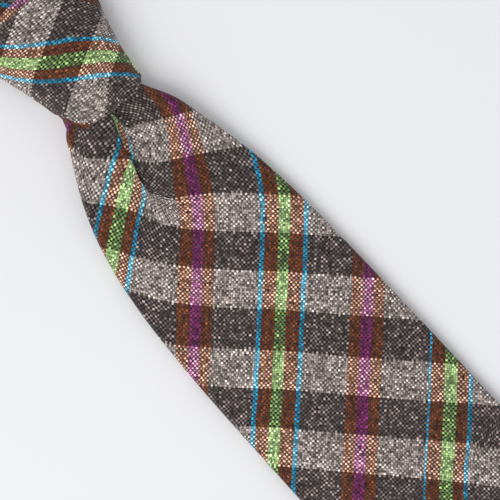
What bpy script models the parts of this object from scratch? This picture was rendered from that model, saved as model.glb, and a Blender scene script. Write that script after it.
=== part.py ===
"""A tied necktie lying on its back, front face up, with a four-in-hand knot.

Metres, +Z up, +X to the right of a person looking at the tie's front, +Y from the knot towards
the neck. The origin is the centre of the knot's flat back. Distances called "down" are measured
from the knot's lower edge towards the blade's point.
"""

import bmesh
import bpy
from math import cos, exp, pi, radians, sin
from mathutils import Vector

# Cloth, thread and the gaps between layers
SHELL = 0.0005
GAP = 0.0003
LAYER = SHELL + GAP
SLIT_HALF = 0.0006
THREAD = 0.0002
FLAT_SHARE = 0.65
EDGE_STEPS = 4

# Knot: its lower edge and top, half widths there, and how far its front stands off its back
KNOT_LOW, KNOT_HIGH = -0.020, 0.025
KNOT_HALF_LOW, KNOT_HALF_HIGH = 0.0152, 0.0255
KNOT_RISE_LOW, KNOT_RISE_MID, KNOT_RISE_HIGH = 0.0142, 0.0168, 0.0146
KNOT_SPRING_Z = 0.005
KNOT_WRAP = 0.0022
KNOT_BACK = 0.0020
KNOT_CORNER = 0.0025
KNOT_BACK_TOP_Z = 0.0044
KNOT_LINING_TOP_Z = 0.0042
KNOT_WIDENING, KNOT_BOXINESS = 1.5, 0.8
KNOT_YS = [KNOT_LOW, -0.017, -0.013, -0.0085, 0.0, 0.010, 0.018, KNOT_HIGH]
TUCK_TOP_Y = KNOT_YS[3]
TUCK_START, TUCK_GAP, TUCK_TOP_ANGLE = radians(126), radians(9), radians(176)
TUCK_BULGE, TUCK_INSET = 0.0035, 0.0012

# The inner pass: distance along Y, half width and top height at its ends and its bend
INNER_PASS = ((-0.018, 0.0058, 0.0114), (KNOT_HIGH, 0.0095, 0.0114), (0.0285, 0.0090, 0.0110))
INNER_PASS_CLOTH = 0.0011

# Front blade
BLADE_KNOT_WIDTH, BLADE_WIDTH, BLADE_TIP_WIDTH = 0.0324, 0.0724, 0.080
BLADE_FLARE_DOWN, BLADE_FLARE_POWER = 0.030, 1.15
BLADE_START_DOWN, BLADE_FOLD_DOWN, BLADE_SHOULDER_DOWN = 0.0015, 0.340, 0.390
BLADE_X, BLADE_KNOT_SHIFT, BLADE_SHIFT_DOWN = -0.00855, 0.0045, 0.040
BLADE_HALF_DEPTH = 0.0017
BLADE_BUNCHING, BLADE_BUNCHED_LIFT, BUNCHED_DOWN = 0.0015, 0.0006, 0.022
BLADE_BACK_Z = 0.0041
BLADE_FLAT_HALF, BLADE_SAG, BLADE_SAG_REACH = 0.023, 0.0025, 0.012
BLADE_SAG_END_DOWN = 0.270
BLADE_TIP_DROP, BLADE_TIP_DROP_REACH = 0.0036, 0.055
BLADE_OPEN_DOWN, BLADE_OPEN_REACH = 0.352, 0.040
BLADE_HEM, TAIL_HEM = 0.012, 0.008
TIPPING = 0.0003
BLADE_DOWNS = [BLADE_START_DOWN, 0.006, 0.012, 0.020, 0.032, 0.048, 0.070, 0.100, 0.170, 0.240]
BLADE_TIP_DOWNS = [0.352, 0.362, 0.374, 0.384, BLADE_SHOULDER_DOWN, 0.398, 0.408, 0.418, 0.424, 0.4272]
STITCH_START_DOWN, STITCH_PITCH = 0.070, 0.012
BAR_TACK_LENGTH, BAR_TACK_CLOTH = 0.0012, 0.0005
BLADE_TACK_DOWN, BLADE_TACK_HALF = 0.348, 0.005
LABEL_DOWN, LABEL_LENGTH, LABEL_X, LABEL_HALF, LABEL_CLOTH = 0.344, 0.017, 0.0145, 0.008, 0.0004

# Tail, the narrow end behind the blade, and the strap that feeds it out of the knot
TAIL_X = -0.007
TAIL_TOP_DOWN, TAIL_FOLD_DOWN, TAIL_SHOULDER_DOWN = 0.070, 0.275, 0.309
TAIL_OPEN_DOWN, TAIL_OPEN_REACH = 0.282, 0.028
TAIL_TACK_DOWN, TAIL_TACK_HALF = 0.280, 0.004
TAIL_TIP_DOWNS = [0.284, 0.294, 0.302, TAIL_SHOULDER_DOWN, 0.316, 0.322, 0.3277]
TAIL_TOP_WIDTH, TAIL_TIP_WIDTH = 0.030, 0.042
TAIL_HALF_DEPTH = 0.00135
TAIL_Z = 0.00245
TAIL_LINING_DOWN, TAIL_MIDDLE_DOWN = 0.142, 0.200
TAIL_STRAP_WIDE_DOWN, TAIL_STRAP_END_DOWN = 0.018, 0.085
TAIL_STRAP_HALF, TAIL_STRAP_KNOT_HALF, TAIL_STRAP_HALF_DEPTH = 0.0115, 0.008, 0.0005

# Keeper loop sewn to the blade's back
KEEPER_DOWN, KEEPER_LENGTH = 0.178, 0.022
KEEPER_X, KEEPER_HALF, KEEPER_TAB, KEEPER_CLOTH = -0.00845, 0.022, 0.006, 0.0006
KEEPER_BASE_Z = 0.0002
KEEPER_END_DROP = 0.0012
KEEPER_TACK_INSET, KEEPER_TACK_MARGIN = 0.0015, 0.003

# Straps that run into the knot, and the neck loop that they carry
STRAP_X, STRAP_Z = 0.0075, 0.0073
STRAP_HALF, STRAP_HALF_DEPTH = 0.0065, 0.0023
STRAP_LOW_Y = -0.001
NECK_FOLD_Y = 0.037
FOLD_CLEARANCE = 0.0026
NECK_HALF_WIDTH = 0.0165
NECK_HALF_DEPTH = 0.0016
NECK_SIDE_X, NECK_SIDE_Y = 0.060, 0.135
NECK_LIFT_Z = 0.017
NECK_LEAD = 0.042
NECK_TWIST_END, NECK_WIDE_AT = 0.95, 0.55
NECK_SEAM_ANGLE = radians(42)
SEAM_GAP = 0.0006
NECK_STITCHES = 9

JOINT_CLEARANCE = 0.0005
BLADE_HINGE_OUT = 0.001
CORNER_ANGLE = radians(40)

COLOURS = {
    "plaid": ((0.21, 0.16, 0.14, 1), 0.85),
    "lining": ((0.78, 0.75, 0.68, 1), 0.95),
    "satin": ((0.05, 0.05, 0.06, 1), 0.45),
    "thread": ((0.09, 0.07, 0.06, 1), 0.7),
    "label": ((0.75, 0.74, 0.70, 1), 0.6),
}


def smooth(t):
    """0 to 1 with level ends, for t from 0 to 1."""
    t = min(max(t, 0.0), 1.0)
    return t * t * (3 - 2 * t)


def steps(low, high, count):
    """count + 1 evenly spaced values from low to high."""
    return [low + (high - low) * i / count for i in range(count + 1)]


def clear_scene():
    """Starts from an empty scene."""
    for thing in list(bpy.data.objects):
        bpy.data.objects.remove(thing)


def material(kind):
    """The Principled material of that kind, made once."""
    found = bpy.data.materials.get(kind)
    if found:
        return found
    made = bpy.data.materials.new(kind)
    made.use_nodes = True
    shader = made.node_tree.nodes["Principled BSDF"]
    colour, roughness = COLOURS[kind]
    shader.inputs["Base Color"].default_value = colour
    shader.inputs["Roughness"].default_value = roughness
    shader.inputs["Metallic"].default_value = 0.0
    return made


def pivot(name, place):
    """An empty on a joint's axis, which carries the pieces that turn or slide with it."""
    empty = bpy.data.objects.new(name, None)
    empty.location = place
    bpy.context.scene.collection.objects.link(empty)
    return empty


def solid(name, stations, kind, parent=None, shell=False):
    """One closed body through stations along its length. A station is a row of (outer, inner)
    points across the cloth, and every station has the same number of pairs. A shell's two sides
    are cut into triangles the same way, and a sheet's as the shell round it, so that no two
    layers cross where the cloth is warped."""
    origin = parent.location if parent else Vector()
    mesh = bmesh.new()
    rings = []
    for pairs in stations:
        ring = [outer for outer, inner in pairs] + [inner for outer, inner in reversed(pairs)]
        rings.append([mesh.verts.new(Vector(point) - origin) for point in ring])
    size = len(rings[0])
    for first, second in zip(rings, rings[1:]):
        for i in range(size):
            j = (i + 1) % size
            if shell and i >= size // 2:
                mesh.faces.new((first[i], first[j], second[i]))
                mesh.faces.new((first[j], second[j], second[i]))
            else:
                mesh.faces.new((first[i], first[j], second[j]))
                mesh.faces.new((first[i], second[j], second[i]))
    for ring in (rings[0], rings[-1]):
        for i in range(size // 2 - 1):
            mesh.faces.new((ring[i], ring[i + 1], ring[size - 2 - i], ring[size - 1 - i]))
    bmesh.ops.recalc_face_normals(mesh, faces=mesh.faces)
    data = bpy.data.meshes.new(name)
    mesh.to_mesh(data)
    mesh.free()
    data.materials.append(material(kind))
    data.shade_smooth()
    data.set_sharp_from_angle(angle=CORNER_ANGLE)
    made = bpy.data.objects.new(name, data)
    made.parent = parent
    bpy.context.scene.collection.objects.link(made)
    return made


def knee_of(half, depth):
    """Where a folded tie's flat middle ends and its sides begin to sag."""
    return min(BLADE_FLAT_HALF, FLAT_SHARE * (half - depth))


def sagging(half, depth, sag):
    """Height of the middle layer across the tie: level, then falling away towards both edges."""
    flat, knee = half - depth, knee_of(half, depth)
    return lambda across: -sag * max(0.0, abs(across) - knee) / (flat - knee)


def across_front(half, depth):
    """Places across the front, left to right as seen from behind, with one at each bend."""
    flat, knee = half - depth, knee_of(half, depth)
    side = [flat, (flat + knee) / 2, knee]
    return side + [0.0] + [-x for x in reversed(side)]


def across_back(half, depth, slit):
    """Places across one back fold, from the slit's lip to the edge."""
    flat, knee = half - depth, knee_of(half, depth)
    if slit < knee:
        return [slit, knee, (flat + knee) / 2, flat]
    return steps(slit, flat, 3)


def folded_outline(half, depth, inset, slit, sag):
    """A folded tie's outline, inset from its outside: (across, up) points from one lip of the back
    slit, round the edges and over the front, to the other lip."""
    radius, flat = depth - inset, half - depth
    middle = sagging(half, depth, sag)
    back = [(x, middle(x) - radius) for x in across_back(half, depth, slit)]
    turn = [
        (flat + radius * sin(a), middle(flat) - radius * cos(a))
        for a in steps(0, pi, EDGE_STEPS)[1:-1]
    ]
    front = [(x, middle(x) + radius) for x in across_front(half, depth)]
    other = [(-x, z) for x, z in reversed(back + turn)]
    return back + turn + front + other


def folded_pairs(place, half, depth, slit=SLIT_HALF, sag=0.0, outside=0.0, inside=SHELL):
    """Outer and inner points of a folded shell, put in space by place(across, up)."""
    outer = folded_outline(half, depth, outside, slit, sag)
    inner = folded_outline(half, depth, inside, slit, sag)
    return [(place(*o), place(*i)) for o, i in zip(outer, inner)]


def sheet_pairs(place, half, depth, top_inset=LAYER, low_inset=LAYER, sag=0.0):
    """Top and bottom points of a flat sheet inside a folded shell."""
    middle = sagging(half, depth, sag)
    return [
        (place(x, middle(x) + depth - top_inset), place(x, middle(x) - depth + low_inset))
        for x in across_front(half, depth)
    ]


def level(centre_x, down, centre_z):
    """Puts (across, up) points on an upright plane across the tie."""
    return lambda across, up: Vector((centre_x + across, KNOT_LOW - down, centre_z + up))


# ---------------------------------------------------------------- front blade


def blade_centre(down):
    return BLADE_X + BLADE_KNOT_SHIFT * exp(-down / BLADE_SHIFT_DOWN)


def blade_half(down):
    """Half the blade's width: gathered at the knot, then nearly straight, then the 90 degree point."""
    narrowed = BLADE_WIDTH - BLADE_KNOT_WIDTH
    gathered = narrowed * exp(-((down / BLADE_FLARE_DOWN) ** BLADE_FLARE_POWER))
    flared = (BLADE_TIP_WIDTH - BLADE_WIDTH) * min(1.0, down / BLADE_SHOULDER_DOWN) ** 2
    return (BLADE_WIDTH - gathered + flared) / 2 - max(0.0, down - BLADE_SHOULDER_DOWN)


def blade_depth(down):
    return BLADE_HALF_DEPTH + BLADE_BUNCHING * exp(-down / BUNCHED_DOWN)


def blade_middle(down):
    """Height of the blade's middle layer. It lies on the tail and drops to the table past its end."""
    back = BLADE_BACK_Z + BLADE_BUNCHED_LIFT * exp(-down / BUNCHED_DOWN)
    dropped = BLADE_TIP_DROP * smooth((down - BLADE_FOLD_DOWN) / BLADE_TIP_DROP_REACH)
    return back + blade_depth(down) - dropped


def blade_sag(down):
    """How far the sides fall below the middle: over the tail only, not at the knot or the point."""
    flattened = smooth((down - BLADE_SAG_END_DOWN) / (BLADE_FOLD_DOWN - BLADE_SAG_END_DOWN))
    widened = smooth((blade_half(down) - BLADE_FLAT_HALF) / BLADE_SAG_REACH)
    return BLADE_SAG * widened * (1 - flattened)


def blade_place(down):
    return level(blade_centre(down), down, blade_middle(down))


def blade_opening(down):
    """Half the gap between the back folds: a slit that opens into a V over the tipping."""
    opened = smooth((down - BLADE_OPEN_DOWN) / BLADE_OPEN_REACH) * (blade_half(down) - BLADE_HEM)
    return max(SLIT_HALF, opened)


def blade_shell_run(name, downs, parent):
    runs = [
        folded_pairs(blade_place(d), blade_half(d), blade_depth(d), blade_opening(d), blade_sag(d))
        for d in downs
    ]
    return solid(name, runs, "plaid", parent, shell=True)


def blade_lining_run(name, downs, low_inset, parent):
    runs = [
        sheet_pairs(blade_place(d), blade_half(d), blade_depth(d), LAYER, low_inset, blade_sag(d))
        for d in downs
    ]
    return solid(name, runs, "lining", parent)


def slip_stitch(name, places, depth, parent):
    """The thread that closes a back slit, weaving from lip to lip inside it. places put
    (across, up) points at each turn, from the layer's middle."""
    runs = []
    for i, place in enumerate(places):
        x = (SLIT_HALF - THREAD - GAP) * (1 if i % 2 else -1)
        z = SHELL / 2 - depth
        runs.append([
            (place(x + side, z + THREAD), place(x + side, z - THREAD)) for side in (-THREAD, THREAD)
        ])
    return solid(name, runs, "thread", parent)


def turns(low, high):
    """Places where a slip stitch turns, between two distances down."""
    return steps(low, high, round((high - low) / STITCH_PITCH))


def patch(name, place, down, length, half, cloth, kind, parent):
    """A small flat piece sewn under a tie's back. place(down) puts (across, up) points there."""
    runs = [
        [(place(d)(x, -GAP), place(d)(x, -GAP - cloth)) for x in (half, -half)]
        for d in (down, down + length)
    ]
    return solid(name, runs, kind, parent)


def build_blade(hinge):
    downs = BLADE_DOWNS + [BLADE_FOLD_DOWN - JOINT_CLEARANCE]
    blade_shell_run("blade_shell", downs, hinge)
    blade_lining_run("blade_interlining", downs, LAYER, hinge)
    thread = [blade_place(d) for d in turns(STITCH_START_DOWN, downs[-1] - THREAD)]
    slip_stitch("blade_slip_stitch", thread, BLADE_HALF_DEPTH, hinge)
    build_keeper(hinge)
    build_tail_strap(hinge)


def blade_back_place(down, shift=0.0):
    return level(blade_centre(down) + shift, down, blade_middle(down) - blade_depth(down))


def build_blade_tip(hinge):
    downs = [BLADE_FOLD_DOWN + JOINT_CLEARANCE] + BLADE_TIP_DOWNS
    blade_shell_run("blade_tip_shell", downs, hinge)
    blade_lining_run("blade_tip_interlining", downs[:-1], LAYER + TIPPING + GAP, hinge)
    top_inset = 2 * BLADE_HALF_DEPTH - LAYER - TIPPING
    runs = [
        sheet_pairs(blade_place(d), blade_half(d), BLADE_HALF_DEPTH, top_inset, LAYER)
        for d in downs[1:-1]
    ]
    solid("blade_tipping", runs, "satin", hinge)
    patch(
        "blade_bar_tack", blade_back_place, BLADE_TACK_DOWN, BAR_TACK_LENGTH, BLADE_TACK_HALF,
        BAR_TACK_CLOTH, "thread", hinge,
    )
    patch(
        "care_label", lambda d: blade_back_place(d, LABEL_X), LABEL_DOWN, LABEL_LENGTH, LABEL_HALF,
        LABEL_CLOTH, "label", hinge,
    )


def build_keeper(hinge):
    """A band across the tail's back, with its ends turned out under the blade, and two tacks."""
    top, cloth = BLADE_BACK_Z - GAP, KEEPER_CLOTH
    outside = KEEPER_HALF + KEEPER_TAB
    right = [
        ((outside, top - KEEPER_END_DROP), (outside, top - KEEPER_END_DROP - cloth)),
        ((KEEPER_HALF, top), (KEEPER_HALF + cloth, top - cloth)),
        ((KEEPER_HALF, KEEPER_BASE_Z + cloth), (KEEPER_HALF + cloth, KEEPER_BASE_Z)),
    ]
    left = [((-a, b), (-c, d)) for (a, b), (c, d) in reversed(right)]
    runs = []
    for d in (KEEPER_DOWN, KEEPER_DOWN + KEEPER_LENGTH):
        place = level(KEEPER_X, d, 0.0)
        runs.append([(place(*outer), place(*inner)) for outer, inner in right + left])
    solid("keeper_loop", runs, "plaid", hinge)
    tack_top = top - KEEPER_END_DROP - cloth - GAP
    for side, name in ((-1, "keeper_left_tack"), (1, "keeper_right_tack")):
        centre = KEEPER_X + side * (outside - KEEPER_TACK_INSET)
        patch(
            name, lambda d: level(centre, d, tack_top + GAP), KEEPER_DOWN + KEEPER_TACK_MARGIN,
            KEEPER_LENGTH - 2 * KEEPER_TACK_MARGIN, 2 * THREAD, 2 * THREAD, "thread", hinge,
        )


# ---------------------------------------------------------------- tail


def tail_half(down):
    along = (down - TAIL_TOP_DOWN) / (TAIL_SHOULDER_DOWN - TAIL_TOP_DOWN)
    width = TAIL_TOP_WIDTH + (TAIL_TIP_WIDTH - TAIL_TOP_WIDTH) * min(1.0, along)
    return width / 2 - max(0.0, down - TAIL_SHOULDER_DOWN)


def tail_place(down):
    return level(TAIL_X, down, TAIL_Z)


def tail_opening(down):
    opened = smooth((down - TAIL_OPEN_DOWN) / TAIL_OPEN_REACH) * (tail_half(down) - TAIL_HEM)
    return max(SLIT_HALF, opened)


def tail_shell_run(name, downs, parent):
    runs = [
        folded_pairs(tail_place(d), tail_half(d), TAIL_HALF_DEPTH, tail_opening(d))
        for d in downs
    ]
    return solid(name, runs, "plaid", parent, shell=True)


def tail_sheet_run(name, downs, top_inset, low_inset, kind, parent):
    runs = [
        sheet_pairs(tail_place(d), tail_half(d), TAIL_HALF_DEPTH, top_inset, low_inset)
        for d in downs
    ]
    return solid(name, runs, kind, parent)


def build_tail(slider):
    end = TAIL_FOLD_DOWN - JOINT_CLEARANCE
    downs = [TAIL_TOP_DOWN, TAIL_LINING_DOWN, TAIL_MIDDLE_DOWN, end]
    tail_shell_run("tail_shell", downs, slider)
    tail_sheet_run("tail_interlining", downs[1:], LAYER, LAYER, "lining", slider)
    thread = [tail_place(d) for d in turns(TAIL_TOP_DOWN + THREAD, end - THREAD)]
    slip_stitch("tail_slip_stitch", thread, TAIL_HALF_DEPTH, slider)


def build_tail_tip(hinge):
    downs = [TAIL_FOLD_DOWN + JOINT_CLEARANCE] + TAIL_TIP_DOWNS
    tail_shell_run("tail_tip_shell", downs, hinge)
    tail_sheet_run("tail_tip_interlining", downs[:-1], LAYER, LAYER + TIPPING + GAP, "lining", hinge)
    top_inset = 2 * TAIL_HALF_DEPTH - LAYER - TIPPING
    tail_sheet_run("tail_tipping", downs[1:-1], top_inset, LAYER, "satin", hinge)
    patch(
        "tail_bar_tack", lambda d: level(TAIL_X, d, TAIL_Z - TAIL_HALF_DEPTH), TAIL_TACK_DOWN,
        BAR_TACK_LENGTH, TAIL_TACK_HALF, BAR_TACK_CLOTH, "thread", hinge,
    )


def build_tail_strap(hinge):
    """The tie's narrow run from the knot into the open top of the tail, which slides over it."""
    rows = []
    for d, half in (
        (BLADE_START_DOWN, TAIL_STRAP_KNOT_HALF),
        (TAIL_STRAP_WIDE_DOWN, TAIL_STRAP_HALF),
        (TAIL_STRAP_END_DOWN, TAIL_STRAP_HALF),
    ):
        place, depth = level(TAIL_X, d, TAIL_Z), TAIL_STRAP_HALF_DEPTH
        rows.append([(place(x, depth), place(x, -depth)) for x in (half, -half)])
    solid("tail_strap", rows, "plaid", hinge)


# ---------------------------------------------------------------- knot


def knot_along(y):
    return (y - KNOT_LOW) / (KNOT_HIGH - KNOT_LOW)


def knot_half(y):
    """Half the knot's width: slim over its lower part, then widening towards the collar."""
    return KNOT_HALF_LOW + (KNOT_HALF_HIGH - KNOT_HALF_LOW) * knot_along(y) ** KNOT_WIDENING


def knot_rise(y):
    """Height of the knot's front over its back."""
    t = knot_along(y)
    ends = KNOT_RISE_LOW * (1 - t) + KNOT_RISE_HIGH * t
    swell = KNOT_RISE_MID - (KNOT_RISE_LOW + KNOT_RISE_HIGH) / 2
    return ends + swell * 4 * t * (1 - t)


def arch(y, turn, half, rise):
    """A point of the knot's arched front at an angle from its right side."""
    x = half * (1 if cos(turn) > 0 else -1) * abs(cos(turn)) ** KNOT_BOXINESS
    z = KNOT_SPRING_Z + (rise - KNOT_SPRING_Z) * abs(sin(turn)) ** KNOT_BOXINESS
    return Vector((x, y, z))


def tuck_start(y):
    """The angle where the front wrap ends on the left: its lower left corner is turned under."""
    return TUCK_START + (pi - TUCK_START) * smooth((y - KNOT_LOW) / (TUCK_TOP_Y - KNOT_LOW))


def build_knot():
    runs = []
    for y in KNOT_YS:
        half, rise = knot_half(y), knot_rise(y)
        runs.append([
            (arch(y, a, half, rise), arch(y, a, half - KNOT_WRAP, rise - KNOT_WRAP))
            for a in steps(0.0, tuck_start(y), 12)
        ])
    solid("knot_front_wrap", runs, "plaid")
    build_knot_back()
    build_knot_tuck()
    build_inner_pass()
    build_knot_lining()


def build_inner_pass():
    """The layer under the front wrap, which laps over the straps at the knot's top."""
    rows = []
    for y, half, top in INNER_PASS:
        rows.append([
            (Vector((x, y, top)), Vector((x, y, top - INNER_PASS_CLOTH))) for x in (half, -half)
        ])
    solid("knot_inner_pass", rows, "plaid")


def build_knot_lining():
    """The folded interlining between the knot's back and the straps."""
    rows = []
    for y in (KNOT_LOW + KNOT_BACK, KNOT_HIGH - KNOT_BACK):
        reach = knot_half(y) - 2 * KNOT_BACK
        rows.append([
            (Vector((x, y, KNOT_LINING_TOP_Z)), Vector((x, y, KNOT_BACK + GAP)))
            for x in (reach, -reach)
        ])
    solid("knot_interlining", rows, "lining")


def build_knot_back():
    """The pass behind the knot: flat on its back, turned up at both sides."""
    runs = []
    for y in KNOT_YS:
        half = knot_half(y)
        bend = [
            ((half - KNOT_CORNER * (1 - sin(a)), KNOT_CORNER * (1 - cos(a))),
             (half - KNOT_CORNER + (KNOT_CORNER - KNOT_BACK) * sin(a),
              KNOT_CORNER - (KNOT_CORNER - KNOT_BACK) * cos(a)))
            for a in steps(pi / 2, 0.0, 4)
        ]
        side = [((half, KNOT_BACK_TOP_Z), (half - KNOT_BACK, KNOT_BACK_TOP_Z))] + bend
        other = [((-a, b), (-c, d)) for (a, b), (c, d) in reversed(side)]
        runs.append([
            (Vector((a, y, b)), Vector((c, y, d))) for (a, b), (c, d) in side + other
        ])
    solid("knot_back_wrap", runs, "plaid")


def build_knot_tuck():
    """The layer that shows at the lower left, where the front wrap's corner is turned under."""
    runs = []
    for y in KNOT_YS[:3]:
        bulge = TUCK_BULGE * smooth((TUCK_TOP_Y - y) / (TUCK_TOP_Y - KNOT_LOW))
        half, rise = knot_half(y) + bulge, knot_rise(y) - TUCK_INSET
        begin = min(tuck_start(y) + TUCK_GAP, TUCK_TOP_ANGLE)
        runs.append([
            (arch(y, a, half, rise), arch(y, a, half - KNOT_WRAP, rise - KNOT_WRAP))
            for a in steps(begin, pi, 4)
        ])
    solid("knot_side_tuck", runs, "plaid")


# ---------------------------------------------------------------- straps and neck loop


def build_straps(slider):
    for side, name in ((-1, "left"), (1, "right")):
        ends = (STRAP_LOW_Y, NECK_FOLD_Y - FOLD_CLEARANCE)
        places = [level(side * STRAP_X, KNOT_LOW - y, STRAP_Z) for y in ends]
        shell = [folded_pairs(p, STRAP_HALF, STRAP_HALF_DEPTH) for p in places]
        solid(f"strap_{name}_shell", shell, "plaid", slider, shell=True)
        lining = [sheet_pairs(p, STRAP_HALF, STRAP_HALF_DEPTH) for p in places]
        solid(f"strap_{name}_interlining", lining, "lining", slider)


def neck_path(along):
    """Centre of the right half of the neck band, from the fold (0) past the side (1) to the
    back of the neck (2), with the direction that it runs in there."""
    start = Vector((STRAP_X, NECK_FOLD_Y + FOLD_CLEARANCE))
    side = Vector((NECK_SIDE_X, NECK_SIDE_Y))
    if along <= 1:
        t = along
        near, far = start + Vector((0, NECK_LEAD)), side - Vector((0, NECK_LEAD))
        point = (1 - t) ** 3 * start + 3 * t * (1 - t) ** 2 * near
        point += 3 * t * t * (1 - t) * far + t ** 3 * side
        run = 3 * (1 - t) ** 2 * (near - start) + 6 * t * (1 - t) * (far - near) + 3 * t * t * (side - far)
    else:
        a = (along - 1) * pi / 2
        point = side + NECK_SIDE_X * Vector((cos(a) - 1, sin(a)))
        run = Vector((-sin(a), cos(a)))
    return point, run.normalized()


def neck_place(along, hand):
    """Puts (across, up) points on the neck band, which turns from lying flat to standing on edge,
    front outwards. hand is 1 for the right half and -1 for the left."""
    point, run = neck_path(along)
    outward = Vector((run.y, -run.x))
    turn = pi / 2 * smooth(along / NECK_TWIST_END)
    height = STRAP_Z + (NECK_LIFT_Z - STRAP_Z) * sin(turn)

    def place(across, up):
        flat = point + outward * (across * cos(turn) + up * sin(turn))
        return Vector((hand * flat.x, flat.y, height - across * sin(turn) + up * cos(turn)))

    return place


def neck_size(along):
    """Half width and half depth of the neck band, folded narrow where it enters the knot."""
    open_up = smooth(along / NECK_WIDE_AT)
    half = STRAP_HALF + (NECK_HALF_WIDTH - STRAP_HALF) * open_up
    return half, STRAP_HALF_DEPTH + (NECK_HALF_DEPTH - STRAP_HALF_DEPTH) * open_up


def neck_shell_rows(alongs, hand):
    return [folded_pairs(neck_place(a, hand), *neck_size(a)) for a in alongs]


def neck_lining_rows(alongs, hand):
    return [sheet_pairs(neck_place(a, hand), *neck_size(a)) for a in alongs]


def build_neck_loop(hinge):
    """Two side pieces and the gusset behind the neck, round two strips of interlining that meet
    at the back. Each layer has stations at the same places, so that none cuts into the next."""
    seam = 2 - NECK_SEAM_ANGLE / (pi / 2)
    gap = SEAM_GAP / (NECK_SIDE_X * pi / 2)
    twisted = steps(0.0, 1.0, 10)
    side = steps(1.0, seam, 4)[1:]
    back = steps(seam, 2.0, 4)
    for hand, name in ((-1, "left"), (1, "right")):
        shell_at = twisted + side[:-1] + [seam - gap]
        rows = neck_shell_rows(shell_at, hand)
        solid(f"neck_{name}_shell", rows, "plaid", hinge, shell=True)
        rows = neck_lining_rows(twisted + side + back[1:-1] + [2 - gap / 2], hand)
        solid(f"neck_{name}_interlining", rows, "lining", hinge)
        rows = [
            folded_pairs(
                neck_place(a, hand), *neck_size(a), outside=THREAD / 2, inside=SHELL - THREAD / 2
            )
            for a in (seam - gap * 2 / 3, seam - gap / 3)
        ]
        solid(f"neck_{name}_seam", rows, "thread", hinge, shell=True)
        places = [neck_place(a, hand) for a in steps(NECK_WIDE_AT, seam - gap, NECK_STITCHES)]
        slip_stitch(f"neck_{name}_slip_stitch", places, NECK_HALF_DEPTH, hinge)
    right = neck_shell_rows(back, 1)
    rows = right + [mirrored(row) for row in reversed(right[:-1])]
    solid("neck_gusset_shell", rows, "plaid", hinge, shell=True)


def mirrored(row):
    """The same row of pairs on the other side of the tie's middle, kept in the same order."""
    return [(Vector((-o.x, o.y, o.z)), Vector((-i.x, i.y, i.z))) for o, i in row]


def main():
    clear_scene()
    build_knot()
    straps = pivot("straps_slider", Vector((0, KNOT_HIGH, STRAP_Z)))
    build_straps(straps)
    neck = pivot("neck_fold_pivot", Vector((0, NECK_FOLD_Y, STRAP_Z)))
    build_neck_loop(neck)
    lip = Vector((0, KNOT_LOW - BLADE_HINGE_OUT, blade_middle(0) + blade_depth(0)))
    blade = pivot("blade_lift_pivot", lip)
    build_blade(blade)
    fold_z = blade_middle(BLADE_FOLD_DOWN) + BLADE_HALF_DEPTH
    tip = pivot("blade_tip_pivot", Vector((BLADE_X, KNOT_LOW - BLADE_FOLD_DOWN, fold_z)))
    build_blade_tip(tip)
    tail = pivot("tail_slider", Vector((TAIL_X, KNOT_LOW - TAIL_TOP_DOWN, TAIL_Z)))
    build_tail(tail)
    tail_fold_z = TAIL_Z - TAIL_HALF_DEPTH
    tail_tip = pivot("tail_tip_pivot", Vector((TAIL_X, KNOT_LOW - TAIL_FOLD_DOWN, tail_fold_z)))
    build_tail_tip(tail_tip)


main()
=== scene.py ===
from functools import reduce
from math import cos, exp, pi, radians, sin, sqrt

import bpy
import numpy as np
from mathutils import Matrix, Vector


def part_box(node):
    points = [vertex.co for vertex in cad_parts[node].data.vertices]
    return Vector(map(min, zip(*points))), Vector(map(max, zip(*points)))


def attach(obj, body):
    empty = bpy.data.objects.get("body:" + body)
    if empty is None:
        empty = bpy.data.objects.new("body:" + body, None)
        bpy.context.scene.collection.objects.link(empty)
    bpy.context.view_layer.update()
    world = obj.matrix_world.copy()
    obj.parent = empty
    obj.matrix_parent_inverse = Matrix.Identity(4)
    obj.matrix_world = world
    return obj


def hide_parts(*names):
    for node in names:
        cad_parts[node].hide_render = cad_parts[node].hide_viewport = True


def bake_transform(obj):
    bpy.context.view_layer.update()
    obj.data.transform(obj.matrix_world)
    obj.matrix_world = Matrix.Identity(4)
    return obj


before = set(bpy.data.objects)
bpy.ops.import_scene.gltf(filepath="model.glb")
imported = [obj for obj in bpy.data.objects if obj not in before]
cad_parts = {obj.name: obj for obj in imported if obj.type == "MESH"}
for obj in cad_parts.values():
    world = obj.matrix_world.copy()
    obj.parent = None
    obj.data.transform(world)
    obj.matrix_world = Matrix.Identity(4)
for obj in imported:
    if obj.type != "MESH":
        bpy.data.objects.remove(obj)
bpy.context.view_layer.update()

# The looks of a tied plaid necktie that lies on its back: its cloths, linings, threads and label.
# Metres, +X to the viewer's right, +Y towards the neck, +Z out of the tie's front. "down" is the
# distance below the knot's lower edge. Cloth coordinates are (a, t) across and along the tie's
# straight length, and (u, v) across and along its warp, which runs at 45 degrees to it. UVs hold
# (u, v) in millimetres.

MM = 0.001

# ---- places read off the frame
KNOT_LOW, KNOT_HIGH = (corner.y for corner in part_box("knot_front_wrap"))
KNOT_HALF_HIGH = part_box("knot_front_wrap")[1].x
STRAP_LOW, STRAP_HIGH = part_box("strap_right_shell")
NECK_START_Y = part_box("neck_right_shell")[0].y


def start_fold_end(shell, tip_shell):
    """How far down a cloth starts, folds and ends."""
    (low, high), (tip_low, tip_high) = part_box(shell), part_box(tip_shell)
    return KNOT_LOW - high.y, KNOT_LOW - (low.y + tip_high.y) / 2, KNOT_LOW - tip_low.y


BLADE_TOP_DOWN, BLADE_FOLD_DOWN, BLADE_END_DOWN = start_fold_end("blade_shell", "blade_tip_shell")
TAIL_TOP_DOWN, TAIL_FOLD_DOWN, TAIL_END_DOWN = start_fold_end("tail_shell", "tail_tip_shell")

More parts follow.
